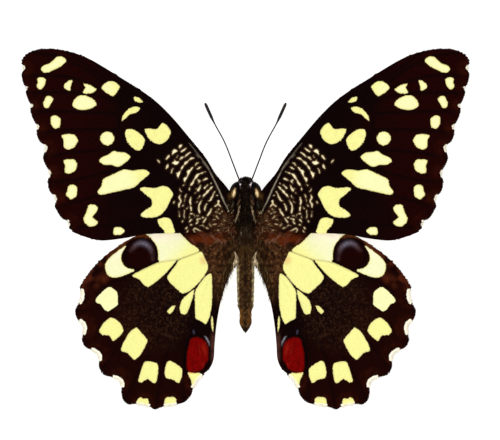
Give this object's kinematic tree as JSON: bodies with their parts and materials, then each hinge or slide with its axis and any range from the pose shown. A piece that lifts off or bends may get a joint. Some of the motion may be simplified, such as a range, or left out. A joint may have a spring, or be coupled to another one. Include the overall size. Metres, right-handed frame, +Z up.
{
  "type": "chequered swallowtail butterfly",
  "caption": "Chequered swallowtail butterfly at life size, standing on its six legs with all wings spread flat; scalloped black wings with cream spots.",
  "frame": {"origin": "on the floor, under the middle of the outline seen from above", "axes": "+Z up, +Y towards the head, +X towards the animal's right wing tip"},
  "size_m": [0.0894, 0.072, 0.0103],
  "materials": {
    "wing_scales": "black-brown scaled wing membrane with pale cream patches, a dark eye spot and a red spot",
    "body_scales": "black hair-like scales with two rows of pale streaks",
    "abdomen_scales": "dark brown scales above, cream along the sides",
    "compound_eye": "faceted dark brown compound eye",
    "cuticle": "hard dark cuticle with fine scales"
  },
  "bodies": {
    "root": {"head": "body_scales", "eye_left": "compound_eye", "eye_right": "compound_eye", "antenna_left": "cuticle", "antenna_right": "cuticle", "palp_left": "body_scales", "palp_right": "body_scales", "proboscis": "cuticle", "thorax": "body_scales", "abdomen": "abdomen_scales", "forewing_left": "wing_scales", "forewing_right": "wing_scales", "hindwing_left": "wing_scales", "hindwing_right": "wing_scales", "foreleg_left": "cuticle", "foreleg_right": "cuticle", "midleg_left": "cuticle", "midleg_right": "cuticle", "hindleg_left": "cuticle", "hindleg_right": "cuticle"}
  },
  "joints": []
}
